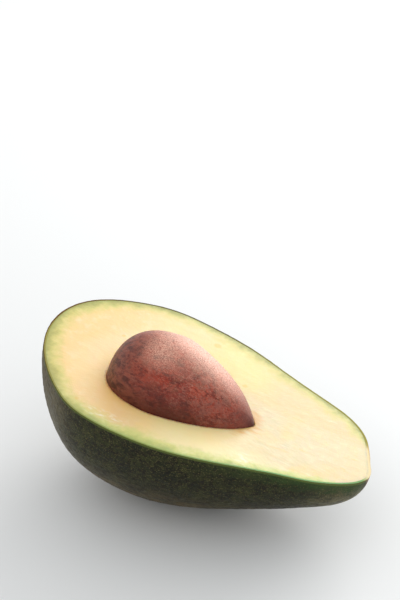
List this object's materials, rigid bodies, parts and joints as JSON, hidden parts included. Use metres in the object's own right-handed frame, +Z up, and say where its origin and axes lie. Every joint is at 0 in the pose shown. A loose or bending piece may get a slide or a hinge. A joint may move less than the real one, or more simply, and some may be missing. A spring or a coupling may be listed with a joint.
{
  "type": "avocado half",
  "caption": "Ripe pear-shaped avocado cut lengthways: dark green skin, yellow-green flesh and a brown teardrop seed standing in its hollow.",
  "frame": {"origin": "centre of the small flat spot of the skin that the half rests on", "axes": "+X towards the pointed stem end, +Y across the half, +Z up; the cut face leans a little down towards the stem end, as it does at rest"},
  "size_m": [0.1119, 0.0699, 0.0544],
  "materials": {
    "skin": "semi-gloss, finely pebbled, dark green with small pale dots",
    "flesh": "moist satin, creamy yellow with a green band inside the skin",
    "seed": "satin reddish brown, mottled papery coat"
  },
  "bodies": {
    "root": {"skin": "skin", "flesh": "flesh", "seed": "seed"}
  },
  "joints": []
}
